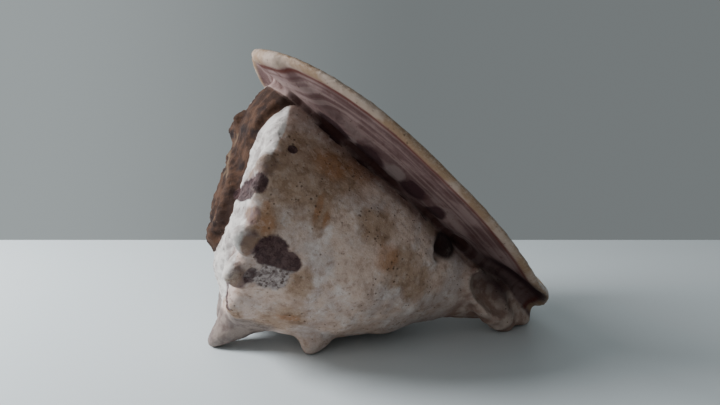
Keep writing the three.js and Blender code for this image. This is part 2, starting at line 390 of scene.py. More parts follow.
# %% Round pieces along a path
def along_path(points, way):
    """Places on a smooth curve, and two directions square to it."""
    place, ahead = smooth_curve(np.array(points, float), way)
    ahead /= np.maximum(np.linalg.norm(ahead, axis=1), 1e-9)[:, None]
    side = np.cross(ahead, (0.0, 1.0, 0.05))
    side /= np.maximum(np.linalg.norm(side, axis=1), 1e-9)[:, None]
    return place, side, np.cross(ahead, side)


def tube(name, points, radius_at, around=64, along=64):
    def surface(angle, way):
        place, side, other = along_path(points, way)
        radius = np.where((way < 0.001) | (way > 0.999), 0, radius_at(way))
        turn = np.radians(angle)
        level, upright = radius * np.cos(turn), radius * np.sin(turn)
        return place + side * level[:, None] + other * upright[:, None]

    return shaped_ball(name, around, along, surface)


print("a tube along X turns from", along_path([(0, 0, 0), (1, 0, 0)], np.zeros(1))[1].round(2))

# %% Canal and ridge
CANAL_PATH = [(-54, 0, -18), (-70, 0, -12), (-83, 1, -8), (-92, 2, -10), (-96.5, 3, -17)]
RIDGE_PATH = [(-94, 7, -19), (-85, 13, -17.5), (-73, 18, -16.5), (-60, 21, -13), (-50, 23, -10)]
CANAL_LAMELLAE, RIDGE_LAMELLAE = 9, 7


def canal_radius(way):
    rounded = np.sqrt(np.clip(1 - np.maximum(0, (way - 0.86) / 0.15) ** 2, 0, 1))
    lamella = 0.9 * (way * CANAL_LAMELLAE % 1) ** 3 * ease(way, 0.25, 0.5)
    return (12.3 * (1 - 0.12 * way) + lamella) * rounded


def ridge_radius(way):
    lamella = 1.8 * (way * RIDGE_LAMELLAE % 1) ** 3
    return (7.6 + lamella) * np.sin(np.pi * np.clip(way * 0.9 + 0.05, 0, 1)) ** 0.4


canal = tube("canal", CANAL_PATH, canal_radius, 96, 160)
ridge = tube("ridge", RIDGE_PATH, ridge_radius, 64, 120)
print("canal and ridge points:", len(canal.data.vertices), len(ridge.data.vertices))

# %% [markdown]
# ## One shell from overlapping solids
# The real shell has no joint anywhere. Joined solids still keep their inner walls, and a boolean
# union leaves a sharp crease where they meet. A voxel remesh on a fine grid melts them into a
# single skin with soft corners, which is how lime laid over lime looks.

# %% Join and remesh
def join(parts, name):
    bpy.ops.object.select_all(action="DESELECT")
    for part in parts:
        part.select_set(True)
    bpy.context.view_layer.objects.active = parts[0]
    bpy.ops.object.join()
    parts[0].name = name
    return parts[0]


def apply_modifier(piece, kind, **settings):
    modifier = piece.modifiers.new(kind.lower(), kind)
    for key, value in settings.items():
        setattr(modifier, key, value)
    bpy.context.view_layer.objects.active = piece
    bpy.ops.object.modifier_apply(modifier=modifier.name)


JOIN_GRID, FINAL_GRID = 1.3, 1.2

shell = join([whorls, shield, canal, ridge], "shell_skin")
apply_modifier(shell, "REMESH", mode="VOXEL", voxel_size=JOIN_GRID, use_smooth_shade=True)
print("joined skin faces:", len(shell.data.polygons))

# %% [markdown]
# ## The mouth and the hollows
# The animal lived in the hollow last half turn and came out through a long slot with teeth on
# both sides. Modelling the inside as a wall would double the work. Shapes for the empty space
# are cut out of the solid skin instead: the slot, the hollow, the canal's bore, and the dark
# chink and hollow beside the canal.

# %% Shape of the mouth
MOUTH_FRONT, MOUTH_BACK, TEETH = -74.0, 56.0, 12
MOUTH_HALF, TOOTH = 7, 1.9


def mouth_middle(share):
    """The slot's middle line, from its front end to its back end: a shallow bow."""
    return -11 - 5 * np.sin(np.pi * share)


def mouth_surface(angle, way):
    """A flattened ball: a long slot through the shield, with teeth along both sides."""
    side = np.sin(np.radians(angle))
    share = np.clip(0.5 - 0.5 * np.cos(np.radians(angle)), 0, 1)
    along = MOUTH_FRONT + (MOUTH_BACK - MOUTH_FRONT) * share
    tooth = TOOTH * np.cos(2 * np.pi * TEETH * share) ** 2
    half = MOUTH_HALF * np.sin(np.pi * np.clip(share, 0.02, 0.98)) ** 0.35
    reach = np.minimum(1, np.sin(np.pi * way) * 3)
    toothed = np.maximum(half - tooth * np.minimum(1, half / 5), 0.4)
    y = mouth_middle(share) + np.sign(side) * toothed * reach * (np.abs(side) > 0.01)
    centre = (MOUTH_FRONT + MOUTH_BACK) / 2
    x = (along - centre) * np.maximum(reach, 0.02) + centre
    return np.stack((x, y, 18 - 48 * way), axis=1)


print("mouth length in mm:", MOUTH_BACK - MOUTH_FRONT)

# %% Shapes of the hollows
HOLLOW_START, HOLLOW_END = 342, 130
WALL, AXIS_PILLAR = 5, 15
BORE_PATH = [(-62, -9, -2), (-74, -4, -6), (-86, 0, -11), (-98, 2, -14), (-112, 3, -16)]
CHINK_PATH = [(-28, 30, -1), (-27.5, 30, -9), (-27, 31, -19)]
NOTCH_AT, NOTCH_HALF = (-69, 28, -11), (19, 13, 9)


def hollow_surface(angle, way):
    """Follows the last whorl back from the mouth, one wall inside it, and narrows to an end."""
    turn = HOLLOW_START + (HOLLOW_END - HOLLOW_START) * way
    narrowing = np.sin(np.pi * (0.12 + 0.88 * way)) ** 0.5
    shrink = np.where((way < 0.001) | (way > 0.999), 0, narrowing)
    height = 84 + 50 * shrink * np.cos(np.radians(angle))
    levels, radii = OUTLINE[8:, 0][::-1], OUTLINE[8:, 1][::-1]
    outer = np.interp(height, levels, radii) * whorl_scale(turn) - WALL
    half = np.maximum(0, (outer - AXIS_PILLAR) / 2) * shrink
    place = about_axis(turn, height, (outer + AXIS_PILLAR) / 2 + half * np.sin(np.radians(angle)))
    place[:, 2] = np.minimum(place[:, 2], shield_height(place[:, 0], place[:, 1]) - 6.3)
    return place


def bore_radius(way):
    return np.full_like(way, 5)


def chink_radius(way):
    """Wide under the plate and narrow below: a wedge."""
    return 8.0 * np.sqrt(np.sin(np.pi * way)) * (1 - 0.6 * way)


def notch_surface(angle, way):
    around = np.radians(angle)
    x = NOTCH_AT[0] + NOTCH_HALF[0] * np.cos(around) * np.sin(np.pi * way)
    y = NOTCH_AT[1] + NOTCH_HALF[1] * np.sin(around) * np.sin(np.pi * way)
    z = NOTCH_AT[2] + NOTCH_HALF[2] * np.cos(np.pi * way)
    return np.stack((x, y, np.minimum(z, dish_height(x, y) - 2.4)), axis=1)


print("hollow runs through", HOLLOW_START - HOLLOW_END, "degrees of the last whorl")

# %% Cut them out
cutters = [
    shaped_ball("mouth", 400, 24, mouth_surface),
    shaped_ball("hollow", 64, 64, hollow_surface),
    tube("bore", BORE_PATH, bore_radius, 32, 32),
    tube("chink", CHINK_PATH, chink_radius, 32, 32),
    shaped_ball("notch_hollow", 40, 30, notch_surface),
]
for cutter in cutters:
    apply_modifier(shell, "BOOLEAN", operation="DIFFERENCE", object=cutter, solver="EXACT")
    bpy.data.objects.remove(cutter)
apply_modifier(shell, "REMESH", mode="VOXEL", voxel_size=FINAL_GRID, use_smooth_shade=True)
print("cut skin faces:", len(shell.data.polygons))

# %% [markdown]
# ## Weather and growth on the surface
# A real shell is never smooth. Growth lines run along the axis, faint ribs run round the whorl,
# the old surface is lumpy, and stained places are eaten a little deeper. Displacement in the
# material would leave the mesh as it is. Here the points themselves are moved along their
# normals, by amounts worked out from where each sits on the coil.

# %% Read the points
mesh = shell.data
count = len(mesh.vertices)


def read_points(source, field_name):
    values = np.empty(count * 3)
    source.foreach_get(field_name, values)
    return values.reshape(-1, 3)


def write_points(places):
    mesh.vertices.foreach_set("co", places.ravel())
    mesh.update()


edges = np.empty(len(mesh.edges) * 2, dtype=np.int64)
mesh.edges.foreach_get("vertices", edges)
edges = edges.reshape(-1, 2)
degree = np.bincount(edges.ravel(), minlength=count)[:, None]


def neighbour_mean(values):
    total = np.zeros_like(values)
    np.add.at(total, edges[:, 0], values[edges[:, 1]])
    np.add.at(total, edges[:, 1], values[edges[:, 0]])
    return total / degree


def soften(values, times):
    for _ in range(times):
        values = 0.5 * values + 0.5 * neighbour_mean(values)
    return values


points = soften(read_points(mesh.vertices, "co"), 3)
write_points(points)
normals = read_points(mesh.vertex_normals, "vector")
turn, height, radius = seen_from_axis(points)
print("points:", count)

# %% [markdown]
# ## Zones
# Colour and relief differ by zone: the front and back of the shield, its rim, the whorls, and the
# walls of the hollow inside. Painting them by hand would have to be done again after each change
# of shape. Each zone is worked out from where a point lies: above or below the dish, how near to
# the shield's edge, and how far from the axis.

# %% Zones of the shell
dish = dish_height(points[:, 0], points[:, 1])
edge_angle = np.degrees(np.arctan2(points[:, 1], points[:, 0])) % 360
fine_x, fine_y = shield_edge(np.arange(0, 360, 0.5))
fine_polar = np.degrees(np.arctan2(fine_y, fine_x)) % 360
order = np.argsort(fine_polar)
fine_reach = np.hypot(fine_x, fine_y)[order]
edge_reach = np.interp(edge_angle, fine_polar[order], fine_reach, period=360)
share = np.hypot(points[:, 0], points[:, 1]) / edge_reach

above = points[:, 2] - dish
on_front = ease(above, -0.5, 1.0)
on_shield = np.maximum(ease(above, -8.5, -6.5) * ease(share, 0.3, 0.4), on_front)
wall_radius = np.interp(height, OUTLINE[::-1, 0], OUTLINE[::-1, 1])
inner = (radius < 0.86 * wall_radius - 3) & (above < -4.5) & (height > 30) & (height < 138)
off_shield = (1 - on_shield) * ~inner
on_back = ease(-above, 1.0, 2.5) * (above > -9)
print("on the shield:", round(float(on_shield.mean()), 2), "inside:", round(float(inner.mean()), 2))

# %% [markdown]
# ## Marks in their places
# The shell's own marks are few and each has its place: a dark blotch that fades to grey on one
# side, brown stains round the knobs, tan and rusty patches, and dark bars on the back of the
# shield. An image could hold them. Ovals placed on the coil are lighter to change, and the
# material tears their edges later.

# %% Stains by place
# turn, height, half length along the turn, half width
BLOTCHES = [
    (98.5, 136.5, 7.2, 7.6), (101.5, 128.0, 5.2, 5.6), (110.5, 132.0, 6.8, 7.2),
    (112, 140.5, 3.8, 3.4), (71.5, 151.8, 4.6, 4.2), (77, 155.0, 3.4, 3.0), (48, 142, 2.3, 2.3),
    (136.5, 145.5, 1.6, 3.4),
]
KNOB_STAINS = [(98, 146, 5.6, 4.2), (115.5, 146, 6.0, 4.6), (62, 151, 5.5, 4.2), (86, 149, 4.0, 3.0)]
TAN_PATCHES = [
    (57, 135, 21, 17), (50, 120, 12, 14), (46, 140, 10, 8), (62, 126, 10, 12),
    (88, 142, 9, 6), (75, 121.5, 9, 4), (141, 141, 8, 5), (110, 119, 8, 6), (88, 76, 10, 9),
    (95, 66, 8, 8), (70, 96, 8, 9), (136, 118, 12, 10), (150, 128, 8, 8),
]
OCHRE = [
    (47, 123, 7, 8), (42, 110, 6, 9), (133.5, 116.5, 2.6, 5.4), (72, 124, 6.5, 1.6),
    (76.5, 119, 4, 1.4), (84, 86, 6, 6), (87, 143, 5, 3.5), (80.5, 145.5, 3.0, 1.8),
]
# on the back of the shield: x, y, half length, half width
BARS = [(51, 29.5, 9.5, 6.2), (30.5, 33, 8.5, 6.0), (5.5, 36, 7.0, 5.4), (-10.5, 34.5, 5.0, 5.4)]
PALE_PATCHES = [(17.8, 36, 6.0, 5.0), (41.5, 33, 2.6, 3.6)]


def field(marks, a, b, per_turn=True):
    """1 well inside any mark, 0.5 at its edge, 0 outside."""
    best = np.full(count, -9.0)
    for at, level, long, wide in marks:
        along = np.radians(turn_between(a, at)) * np.maximum(radius, 25) if per_turn else a - at
        best = np.maximum(best, 1 - np.hypot(along / long, (b - level) / wide))
    return np.clip(best * 0.5 + 0.5, 0, 1)


masks = {
    "blotch": field(BLOTCHES, turn, height) * off_shield,
    "tan": field(TAN_PATCHES, turn, height) * off_shield,
    "ochre": field(OCHRE, turn, height) * off_shield,
    "stained": field(KNOB_STAINS, turn, height) * off_shield,
    "bars": field(BARS, points[:, 0], points[:, 1], per_turn=False) * on_back,
    "patches": field(PALE_PATCHES, points[:, 0], points[:, 1], per_turn=False) * on_back,
}
print("stain masks:", ", ".join(masks))

# %% [markdown]
# ## Lumps, lines and teeth
# Noise gives the lumps, at three sizes. Stretched noise gives lines: along the axis on the
# whorls, outwards on the shoulder. The teeth beside the mouth are a cosine along the slot.

# %% Relief of the surface
def lumps(places, scale, octaves=3):
    """Soft noise from -1 to 1 with features about scale millimetres across."""
    return np.array([noise.fractal(Vector(p), 1.0, 2.0, octaves) for p in places / scale])


def lines(a, b, plane):
    """Noise over two stretched coordinates."""
    return np.array([noise.noise(Vector((p, q, plane))) for p, q in zip(a, b)])


RIB_SPACING = 7.5
broad = lumps(points, 22)
small = lumps(points + 40, 6)
grain = lumps(points + 90, 2.6, 2)
arc = np.radians(turn) * np.maximum(radius, 8)
growth_line = lines(arc / 2.1, height / 40, 3.0)
wrinkle = lines(arc / 3.4, radius / 26, 8.0)
rib = np.cos(2 * np.pi * height / RIB_SPACING) * ease(height, 30, 60) * (1 - ease(height, 128, 138))
lumpy = 0.55 * broad + 0.28 * small + 0.12 * grain
move = off_shield * (lumpy + 0.22 * growth_line + 0.12 * rib)
move += on_shield * (0.15 * broad + 0.08 * small)
move += ease(height, 140, 146) * off_shield * (0.75 * wrinkle + 0.35 * small)
print("lumps from", round(float(broad.min()), 2), "to", round(float(broad.max()), 2))

# %% Teeth beside the mouth
along = np.clip((points[:, 0] - MOUTH_FRONT) / (MOUTH_BACK - MOUTH_FRONT), 0, 1)
from_mouth = points[:, 1] - mouth_middle(along)
beside = ease(along, 0, 0.06) * (1 - ease(along, 0.94, 1))
tooth = np.cos(2 * np.pi * TEETH * along) ** 4 * beside
reach = np.where(from_mouth < 0, bell(from_mouth + 9, 6), bell(from_mouth - 10, 8))
lip_fold = bell(from_mouth + 13, 9) * ease(along, 0.02, 0.15) * (1 - ease(along, 0.85, 0.98))
move += on_front * (1.5 * tooth * reach + 2.2 * lip_fold)
print("points on the teeth:", int((tooth * reach > 0.5).sum()))

# %% Eaten stains, and the seam where the shield lies on the whorl
SEAM_DEPTH = 3.4
move -= ease(masks["blotch"], 0.48, 0.62) * (0.45 + 0.25 * np.maximum(grain, 0))
move -= ease(masks["bars"], 0.45, 0.65) * 0.35


def concavity(places, times):
    """How far the mean of the points around stands out along the normal."""
    around = places
    for _ in range(times):
        around = neighbour_mean(around)
    return np.einsum("ij,ij->i", around - places, normals)


seam = ease(concavity(points, 8), 0.25, 0.9) * ease(points[:, 0], -52, -40)
seam *= (points[:, 1] > 6) * (above < -2) * (above > -14) * ~inner
move -= SEAM_DEPTH * soften(seam[:, None], 4)[:, 0]
points = points + normals * move[:, None]
write_points(points)
print("moved by up to", round(float(np.abs(move).max()), 2), "mm")

# %% [markdown]
# ## Hollows and edges
# Hollows gather dirt and lie in shade, so they are painted darker: real dirt and painted shade
# together. Edges lose the dirt. A material can find them by pointiness, but that changes with the
# renderer. So the hollowness is measured on the mesh itself: where the points around stand out
# past a point, it lies in a hollow.

# %% Measure the hollows
concave = soften(concavity(points, 6)[:, None], 2)[:, 0]
# Concave places are painted darker below: dirt and painted shade together.
masks["hollow"] = ease(concave, 0.1, 1.1)
print("concavity from", round(float(concave.min()), 2), "to", round(float(concave.max()), 2))

# %% Whorl zones: spire, ramp, horn and canal
RAMP_TURNS = (0, 40, 60, 76, 100, 120, 150, 185, 240, 340, 360)
RAMP_RISES = (9, 7, 10, 12, 9, 7, 4, 2, 2, 11, 11)

shoulder = 140 + np.interp(turn, RAMP_TURNS, RAMP_RISES)
spire = ease(open_suture(turn) - radius, -0.8, 0.8) * ease(height, 138, 146) * off_shield
near_horn = ease(turn, 138, 152) * (1 - ease(turn, 225, 240))
masks["spire"] = spire
masks["ramp"] = ease(height - shoulder, -1.5, 2.5) * (1 - spire) * off_shield
masks["horn"] = ease(radius, 47, 59) * ease(height, 112, 122) * near_horn * off_shield
masks["canal"] = ease(-height, -44, -30) * off_shield
masks["edge"] = ease(-concave, 0.15, 1.0) * (1 - 0.9 * spire)
masks["faded"] = ease(turn, 102.5, 108) * (1 - 0.6 * ease(height, 138, 139))
print("share of the shell that is spire:", round(float(spire.mean()), 3))

# %% Shield zones: rim, streaks and the gaps between the teeth
rim = ease(share, 0.945, 0.958) * ease(above, -6.5, -4)
streaks = lines(share * 34, edge_angle / 34, 5.0)
gaps = on_front * beside * (1 - ease(tooth, 0.1, 0.5))
left_side = points[:, 1] > 0
masks["shield"] = on_shield
masks["front"] = on_front * on_shield
masks["rim"] = rim
masks["rim_line"] = bell(share - 0.937, 0.012) * ease(-above, 0.3, 1.2) * on_shield * left_side
masks["streaks"] = 0.5 + streaks
masks["between"] = gaps * reach * (np.abs(from_mouth) < 18)
# Painted shade: the back of the shield is darkened away from the spire end, towards the canal.
masks["shield_back_shade"] = (1 - ease(points[:, 0], 46, 82)) * on_shield * (1 - rim)
print("share of the shell that is rim:", round(float(rim.mean()), 3))

# %% Painted shade: crevice, chink and the hollow beside the canal
CHINK_AT, CHINK_SIZE = (-28.0, 27.0, -9.0), (9.0, 9.5, 7.5)

# The chink under the plate is painted near black as painted shade. This field is the scaled distance
# to its centre.
shaded_chink = np.linalg.norm((points - CHINK_AT) / CHINK_SIZE, axis=1)
cusp = np.hypot((points[:, 0] + 15.5) / 4.5, (points[:, 2] + 8) / 3.2)
# The hollow behind the plate's end beside the canal is painted dark: mostly painted shade, with the
# shell's own purple-brown.
shaded_cavern = np.hypot((points[:, 0] + 71) / 22, (points[:, 1] - 29) / 17)
shaded_cavern = (1 - ease(shaded_cavern, 0.7, 1.1)) * ease(-above, 0.2, 1.5) * ease(above, -22, -12)
# Painted shade: the crease where the back of the shield meets the whorl is painted dark.
masks["crevice_shade"] = bell(above + 9.5, 3.5) * bell(share - 0.5, 0.3) * (points[:, 1] > 8)
masks["shaded_cavern"] = shaded_cavern
masks["shaded_chink"] = 1 - ease(shaded_chink, 0.6, 1.15)
masks["cusp"] = (1 - ease(cusp, 0.5, 1.1)) * (points[:, 1] > 24) * ~inner
masks["inner"] = inner * ease(shaded_chink, 1.1, 1.4)
print("points in the chink:", int((shaded_chink < 1).sum()))

# %% Store the masks on the points
for name, values in masks.items():
    layer = mesh.attributes.new(name, "FLOAT", "POINT")
    layer.data.foreach_set("value", np.clip(values, 0, 1).astype(np.float32))
print("masks stored:", len(masks))

# %% [markdown]
# ## Set it down
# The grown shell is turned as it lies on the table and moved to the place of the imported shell.
# The turn could sit in the object's rotation, but the piece has to stay unturned to follow its
# body, so the points are turned. The tips that touch the table are worn flat.

# %% Turn to rest
YAW, LEAN = math.radians(191), math.radians(-42.2)

rest = Matrix.Rotation(YAW, 3, "Z") @ Matrix.Rotation(LEAN, 3, "Y")
lying = points @ np.array(rest).T
low, high = lying.min(axis=0), lying.max(axis=0)
shift = (cad_low + cad_high) / 2 - (low + high) / 2
shift[2] = cad_high[2] - high[2]
lying += shift
lying[:, 2] = np.maximum(lying[:, 2], 0)
write_points(lying * MM)
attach(shell, "root")
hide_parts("shell")
print("lowest before wear:", round(float((low + shift)[2]), 2), "mm")
print("box from", lying.min(axis=0).round(1), "to", lying.max(axis=0).round(1))

# %% [markdown]
# ## Finish
# The shell is dead chalky lime with stains soaked in. Separate materials would meet in hard
# lines, and real stains run into each other. So there is one material, which mixes the zones
# over each other from the palest layer to the darkest. Each effect that comes back is a node
# group: a ragged edge for a soft mask, and a scatter of fine pits.

# %% Node helpers
def new_group(name, inputs, outputs):
    group = bpy.data.node_groups.new(name, "ShaderNodeTree")
    for label, value in inputs.items():
        kind = "NodeSocketVector" if label == "Vector" else "NodeSocketFloat"
        socket = group.interface.new_socket(label, in_out="INPUT", socket_type=kind)
        if label != "Vector":
            socket.default_value = value
    for label in outputs:
        group.interface.new_socket(label, in_out="OUTPUT", socket_type="NodeSocketFloat")
    return group, group.nodes.new("NodeGroupInput"), group.nodes.new("NodeGroupOutput")


def feed(tree, socket, value):
    """A number or a colour is set on the socket, anything else is linked to it."""
    if isinstance(value, (int, float, tuple)):
        socket.default_value = value
    else:
        tree.links.new(value, socket)


def math_node(tree, operation, a, b=None, c=None, clamp=False):
    node = tree.nodes.new("ShaderNodeMath")
    node.operation = operation
    node.use_clamp = clamp
    for socket, value in zip(node.inputs, (a, b, c)):
        if value is not None:
            feed(tree, socket, value)
    return node.outputs[0]


def noise_node(tree, vector, scale, detail=3.0, roughness=0.55):
    node = tree.nodes.new("ShaderNodeTexNoise")
    tree.links.new(vector, node.inputs["Vector"])
    for label, value in (("Scale", scale), ("Detail", detail), ("Roughness", roughness)):
        feed(tree, node.inputs[label], value)
    return node.outputs["Fac"]


def ramp_node(tree, value, low, high):
    node = tree.nodes.new("ShaderNodeMapRange")
    node.interpolation_type = "SMOOTHSTEP"
    tree.links.new(value, node.inputs["Value"])
    node.inputs["From Min"].default_value = low
    node.inputs["From Max"].default_value = high
    return node.outputs["Result"]


print("node helpers ready")

# %% Group: ragged edge
EDGE_INPUTS = {"Vector": None, "Mask": 0.0, "Scale": 300.0, "Raggedness": 0.3, "Softness": 0.05}

ragged, into, out = new_group("ragged_edge", EDGE_INPUTS, ["Mask"])
wander = noise_node(ragged, into.outputs["Vector"], into.outputs["Scale"], 4.0, 0.6)
wander = math_node(ragged, "SUBTRACT", wander, 0.5)
wander = math_node(ragged, "MULTIPLY_ADD", wander, into.outputs["Raggedness"], into.outputs["Mask"])
wander = math_node(ragged, "SUBTRACT", wander, 0.5)
wander = math_node(ragged, "DIVIDE", wander, into.outputs["Softness"])
wander = math_node(ragged, "ADD", wander, 0.5, clamp=True)
ragged.links.new(wander, out.inputs["Mask"])
print("group", ragged.name)

# %% Group: fine pits
PIT_INPUTS = {"Vector": None, "Scale": 500.0, "Size": 0.3, "Cover": 0.5}

pits, into, out = new_group("fine_pits", PIT_INPUTS, ["Mask"])
cells = pits.nodes.new("ShaderNodeTexVoronoi")
pits.links.new(into.outputs["Vector"], cells.inputs["Vector"])
pits.links.new(into.outputs["Scale"], cells.inputs["Scale"])
near = math_node(pits, "SUBTRACT", into.outputs["Size"], cells.outputs["Distance"])
near = math_node(pits, "MULTIPLY", near, 8.0, clamp=True)
where = noise_node(pits, into.outputs["Vector"], 130.0, 3.0)
where = math_node(pits, "SUBTRACT", where, into.outputs["Cover"])
where = math_node(pits, "MULTIPLY", where, 9.0, clamp=True)
both = math_node(pits, "MULTIPLY", near, where)
pits.links.new(both, out.inputs["Mask"])
print("group", pits.name)

# %% Shell material
finish = bpy.data.materials.new("weathered_shell")
finish.use_nodes = True
tree = finish.node_tree
shader = tree.nodes["Principled BSDF"]
place = tree.nodes.new("ShaderNodeTexCoord").outputs["Object"]


def mask(name):
    node = tree.nodes.new("ShaderNodeAttribute")
    node.attribute_name = name
    return node.outputs["Fac"]


def use_group(group, **values):
    node = tree.nodes.new("ShaderNodeGroup")
    node.node_tree = group
    tree.links.new(place, node.inputs["Vector"])
    for label, value in values.items():
        feed(tree, node.inputs[label], value)
    return node.outputs["Mask"]


def torn(value, scale, raggedness, softness):
    return use_group(ragged, Mask=value, Scale=scale, Raggedness=raggedness, Softness=softness)


def pitted(scale, size, cover):
    return use_group(pits, Scale=scale, Size=size, Cover=cover)


def cloud(scale, low, high, detail=4, roughness=0.55):
    """Soft patches from 0 to 1: noise stretched between two levels."""
    return ramp_node(tree, noise_node(tree, place, scale, detail, roughness), low, high)


def colour(red, green, blue):
    """A colour given as it looks on a screen, 0 to 255."""
    return tuple((v / 255) ** 2.2 for v in (red, green, blue)) + (1.0,)


def mix(fac, below, above, amount=1.0):
    node = tree.nodes.new("ShaderNodeMix")
    node.data_type = "RGBA"
    if amount != 1.0:
        fac = math_node(tree, "MULTIPLY", fac, amount)
    tree.links.new(fac, node.inputs["Factor"])
    for label, value in (("A", below), ("B", above)):
        feed(tree, next(s for s in node.inputs if s.name == label and s.type == "RGBA"), value)
    return next(s for s in node.outputs if s.type == "RGBA")


print("material:", finish.name)

# %% [markdown]
# ## The whorls' colours
# The wall is a pale pinkish brown, clouded and streaked, with tan and rusty patches where the
# outer layer is left. The ramp above the shoulder is bare chalk, and the old spire is the
# darkest brown. Noise at several sizes does this better than one: large clouds, then streaks,
# then a fine mottle.

# %% Body colours
streaky = noise_node(tree, place, 120, 5, 0.65)
mottle = noise_node(tree, place, 300, 4, 0.7)
fine_noise = noise_node(tree, place, 700, 4, 0.7)
skin = mix(cloud(45, 0.38, 0.62, 4, 0.6), colour(190, 165, 151), colour(173, 156, 149))
skin = mix(ramp_node(tree, streaky, 0.5, 0.7), skin, colour(150, 122, 106), 0.6)
skin = mix(ramp_node(tree, streaky, 0.5, 0.3), skin, colour(216, 208, 206), 0.55)
tan_mask = torn(mask("tan"), 170, 0.75, 0.28)
skin = mix(tan_mask, skin, colour(150, 122, 100), 0.8)
deep_tan = math_node(tree, "MULTIPLY", tan_mask, cloud(210, 0.46, 0.62))
skin = mix(deep_tan, skin, colour(116, 88, 69), 0.55)
skin = mix(torn(mask("ochre"), 220, 0.6, 0.3), skin, colour(146, 98, 62), 0.55)
# Painted shade in the crease between the back of the shield and the whorl.
skin = mix(mask("crevice_shade"), skin, colour(84, 46, 36), 0.72)
skin = mix(ramp_node(tree, mottle, 0.52, 0.66), skin, colour(128, 102, 88), 0.5)
skin = mix(ramp_node(tree, mottle, 0.48, 0.34), skin, colour(200, 184, 176), 0.25)
print("nodes after the body colours:", len(tree.nodes))

# %% Ramp, horn, knob, spire and canal colours
chalk = mix(cloud(130, 0.45, 0.62, 5, 0.65), colour(206, 200, 195), colour(160, 152, 149))
skin = mix(torn(mask("ramp"), 180, 0.45, 0.3), skin, chalk, 0.92)
horn_skin = mix(cloud(170, 0.4, 0.62, 5), colour(132, 120, 114), colour(98, 86, 84))
skin = mix(torn(mask("horn"), 150, 0.5, 0.4), skin, horn_skin, 0.85)
knob_brown = mix(cloud(190, 0.4, 0.6), colour(118, 92, 76), colour(100, 78, 76))
skin = mix(torn(mask("stained"), 230, 0.35, 0.18), skin, knob_brown, 0.85)
brown = mix(cloud(160, 0.4, 0.62, 5, 0.6), colour(48, 31, 23), colour(76, 53, 40))
brown = mix(cloud(95, 0.55, 0.68, 3), brown, colour(32, 21, 21), 0.85)
brown = mix(cloud(75, 0.62, 0.7, 2), brown, colour(108, 88, 70), 0.6)
skin = mix(torn(mask("spire"), 200, 0.3, 0.2), skin, brown)
canal_skin = mix(cloud(140, 0.4, 0.6), colour(134, 104, 92), colour(182, 160, 148))
skin = mix(mask("canal"), skin, canal_skin, 0.8)
print("nodes after the whorls:", len(tree.nodes))

# %% [markdown]
# ## The shield's colours
# The back of the shield is a dull brownish pink with streaks that follow its edge, and is painted
# darker towards the canal as shade. The front is glossy and creamy orange, with brown gaps
# between the teeth. The rim is paler than both. The streaks are a mask too, because noise in the
# material knows nothing of the shield's edge.

# %% Shield colours
back = mix(cloud(60, 0.4, 0.62), colour(104, 80, 78), colour(142, 118, 114))
back = mix(cloud(150, 0.56, 0.7), back, colour(86, 54, 52), 0.6)
back = mix(ramp_node(tree, mask("streaks"), 0.5, 0.8), back, colour(160, 138, 132), 0.42)
back = mix(ramp_node(tree, mask("streaks"), 0.42, 0.15), back, colour(80, 52, 50), 0.5)
# Painted shade on the back of the shield, darker towards the canal.
back = mix(mask("shield_back_shade"), back, colour(60, 41, 40), 0.42)
front_skin = mix(cloud(40, 0.4, 0.6, 3), colour(214, 178, 142), colour(228, 204, 178))
front_skin = mix(mask("between"), front_skin, colour(126, 74, 50), 0.7)
back = mix(mask("front"), back, front_skin)
rim_skin = mix(cloud(70, 0.42, 0.6, 3), colour(136, 110, 88), colour(158, 138, 124))
rim_skin = mix(cloud(42, 0.6, 0.7, 3), rim_skin, colour(150, 128, 84), 0.6)
back = mix(mask("rim"), back, rim_skin)
back = mix(mask("rim_line"), back, colour(88, 42, 32), 0.9)
skin = mix(mask("shield"), skin, back)
print("nodes after the shield:", len(tree.nodes))

# %% [markdown]
# ## Dark marks, pits and wear
# Dark marks lie over everything: the blotch, the bars, the pits, and the dirt and painted shade in
# the hollows, with painted shade in the chink and in the hollow beside the canal.
# They come last, so that no paler layer covers them. Only wear comes after them, because a
# rubbed edge is bare lime again.

# %% Dark marks on top
dark = mix(cloud(330, 0.42, 0.6, 4, 0.7), colour(56, 38, 41), colour(80, 60, 60))
grey = mix(cloud(420, 0.4, 0.6, 4, 0.7), colour(112, 98, 96), colour(164, 152, 148))
pale_spots = pitted(560, 0.4, 0.36)
grey = mix(pale_spots, grey, colour(78, 60, 58), 0.8)
dark = mix(torn(mask("faded"), 240, 0.5, 0.3), dark, grey)
blotch_mask = torn(mask("blotch"), 260, 0.3, 0.1)
skin = mix(blotch_mask, skin, dark, 0.95)
skin = mix(torn(mask("patches"), 240, 0.28, 0.2), skin, colour(126, 110, 106), 0.7)
skin = mix(torn(mask("bars"), 240, 0.28, 0.14), skin, colour(54, 33, 36), 0.94)
specks = pitted(420, 0.22, 0.48)
skin = mix(specks, skin, colour(84, 66, 54), 0.75)
patch_pits = math_node(tree, "MULTIPLY", pitted(360, 0.24, 0.46), tan_mask)
skin = mix(patch_pits, skin, colour(72, 50, 40), 0.65)
print("nodes after the marks:", len(tree.nodes))

# %% Hollows and worn edges
# Painted shade, with the shell's own dark purple-brown, in the hollow behind the plate's end.
skin = mix(mask("shaded_cavern"), skin, colour(52, 32, 36), 0.95)
# Painted shade: the chink under the plate is painted near black.
skin = mix(torn(mask("shaded_chink"), 200, 0.3, 0.8), skin, colour(34, 20, 22), 0.95)
